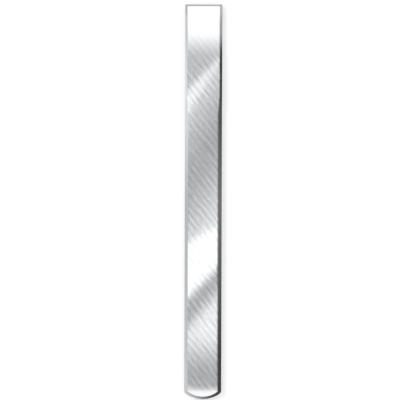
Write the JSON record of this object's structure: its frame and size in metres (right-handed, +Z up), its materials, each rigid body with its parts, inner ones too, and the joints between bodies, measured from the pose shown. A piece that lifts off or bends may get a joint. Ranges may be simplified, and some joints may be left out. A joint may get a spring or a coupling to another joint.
{
  "type": "osteotome",
  "caption": "Flat steel bar osteotome with a straight double-bevelled cutting edge, chamfered long edges, a thinned blade and a bowed, crowned striking end.",
  "frame": {"origin": "under the middle of the bar, on the surface that it rests on", "axes": "+Y along the bar towards the cutting edge, +X across its width, +Z up through its thickness"},
  "size_m": [0.016, 0.17, 0.004],
  "materials": {
    "stainless_steel": "satin-ground stainless steel with a fine slanting grain on the broad faces, brighter on the bevel, the chamfers and the crown"
  },
  "bodies": {
    "root": {"osteotome": "stainless_steel"}
  },
  "joints": []
}
